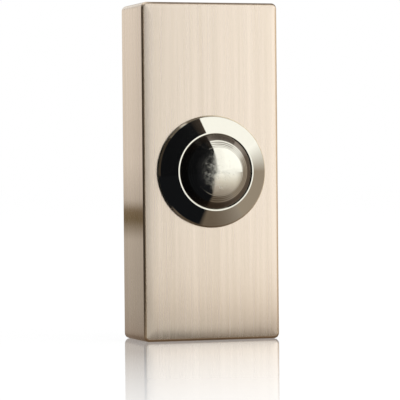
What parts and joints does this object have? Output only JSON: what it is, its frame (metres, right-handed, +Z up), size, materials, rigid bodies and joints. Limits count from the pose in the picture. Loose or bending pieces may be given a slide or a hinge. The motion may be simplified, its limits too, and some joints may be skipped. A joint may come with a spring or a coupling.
{
  "type": "doorbell push button",
  "caption": "Slim upright metal doorbell push with a brushed case, a round polished bezel and a sprung domed button that closes leaf contacts on a wall plate.",
  "frame": {"origin": "middle of the back face, on the wall plane, in line with the button's axis", "axes": "+Z up along the case, +Y into the wall, so that the button faces -Y and +X is to the right seen from the front"},
  "size_m": [0.032, 0.0229, 0.076],
  "materials": {
    "satin_nickel": "warm satin nickel plate on a die-cast case, brushed along its length",
    "polished_nickel": "polished nickel plate on turned brass",
    "spring_steel": "plain spring steel",
    "brass": "plain turned or stamped brass",
    "bronze": "thin rolled bronze strip",
    "silver": "silver contact face",
    "plated_steel": "bright plated steel",
    "black_moulding": "fine matt moulded plastic",
    "natural_nylon": "natural off-white nylon"
  },
  "bodies": {
    "housing": {"case": "satin_nickel", "bezel": "polished_nickel", "lock_washer": "spring_steel", "ring_nut": "brass", "guide_disc": "natural_nylon", "retaining_ring": "spring_steel", "return_spring": "spring_steel", "base_plate": "black_moulding", "leaf_contact": "bronze", "fixed_contact": "brass", "contact_rivet": "silver", "terminal_screws": "plated_steel", "clamp_plates": "brass", "terminal_nuts": "brass", "cover_screw": "plated_steel", "cover_insert": "brass"},
    "push_button": {"button": "polished_nickel", "plunger": "natural_nylon"}
  },
  "joints": [
    {"name": "press", "type": "slide", "parent": "housing", "child": "push_button", "axis": [0, 1, 0], "range_m": [0, 0.002], "stiffness_N_per_m": 600, "springref_m": -0.003, "deforming": ["return_spring", "leaf_contact"]}
  ]
}
